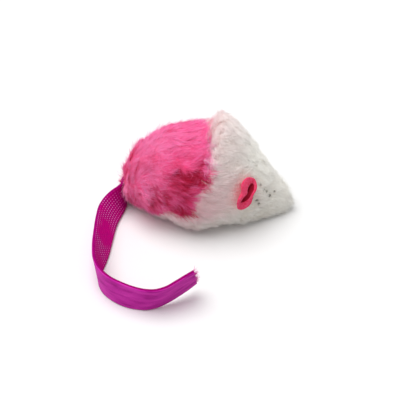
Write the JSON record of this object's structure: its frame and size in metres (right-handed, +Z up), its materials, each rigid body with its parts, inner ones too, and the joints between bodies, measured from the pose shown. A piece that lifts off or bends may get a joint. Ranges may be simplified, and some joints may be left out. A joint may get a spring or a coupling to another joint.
{
  "type": "catnip mouse",
  "caption": "Stuffed plush catnip mouse with a pink rump, a white wedge-shaped head, folded felt ears and a velvet ribbon tail.",
  "frame": {"origin": "centre of the stuffed body's box, on the surface that the belly rests on; the ribbon tail is not counted", "axes": "+X to the nose, +Y to the mouse's left, +Z up"},
  "size_m": [0.067, 0.0786, 0.0354],
  "materials": {
    "pink_plush": "hot pink fake fur, soft matte pile",
    "white_plush": "off-white fake fur, soft matte pile",
    "coral_felt": "coral-pink wool felt",
    "velvet_ribbon": "magenta velvet ribbon with a woven back",
    "fibre_fill": "white polyester stuffing fibre",
    "pouch_cloth": "thin undyed cotton",
    "dried_catnip": "dry crushed grey-green leaf",
    "white_thread": "off-white sewing thread",
    "pink_thread": "pink sewing thread"
  },
  "bodies": {
    "mouse": {"rump_cover_left": "pink_plush", "rump_cover_right": "pink_plush", "head_cover_left": "white_plush", "head_cover_right": "white_plush", "belly_panel": "white_plush", "rump_fibre_fill": "fibre_fill", "head_fibre_fill": "fibre_fill", "catnip_pouch_rear": "pouch_cloth", "catnip_pouch_front": "pouch_cloth", "dried_catnip": "dried_catnip", "back_seam_thread": "white_thread", "waist_seam_thread": "white_thread", "belly_seam_thread": "white_thread", "closing_stitches": "white_thread", "tail_tab": "velvet_ribbon", "tail_bar_tack": "pink_thread", "ear_tack_left": "white_thread", "ear_tack_right": "white_thread"},
    "tail": {"tail_ribbon": "velvet_ribbon"},
    "ear_left": {"ear_left": "coral_felt"},
    "ear_right": {"ear_right": "coral_felt"}
  },
  "joints": [
    {"name": "tail_swing", "type": "hinge", "parent": "mouse", "child": "tail", "pos_m": [-0.031, 0, 0.0054], "axis": [0, 0, 1], "range_deg": [-165, 0]},
    {"name": "ear_left_flex", "type": "hinge", "parent": "mouse", "child": "ear_left", "pos_m": [0.01214, 0.01223, 0.01224], "axis": [0.2657, -0.3127, 0.9119], "range_deg": [-20, 20], "stiffness_Nm_per_rad": 0.0005},
    {"name": "ear_right_flex", "type": "hinge", "parent": "mouse", "child": "ear_right", "pos_m": [0.01237, -0.01125, 0.01595], "axis": [0.2601, 0.5098, 0.82], "range_deg": [-20, 20], "stiffness_Nm_per_rad": 0.0005}
  ]
}
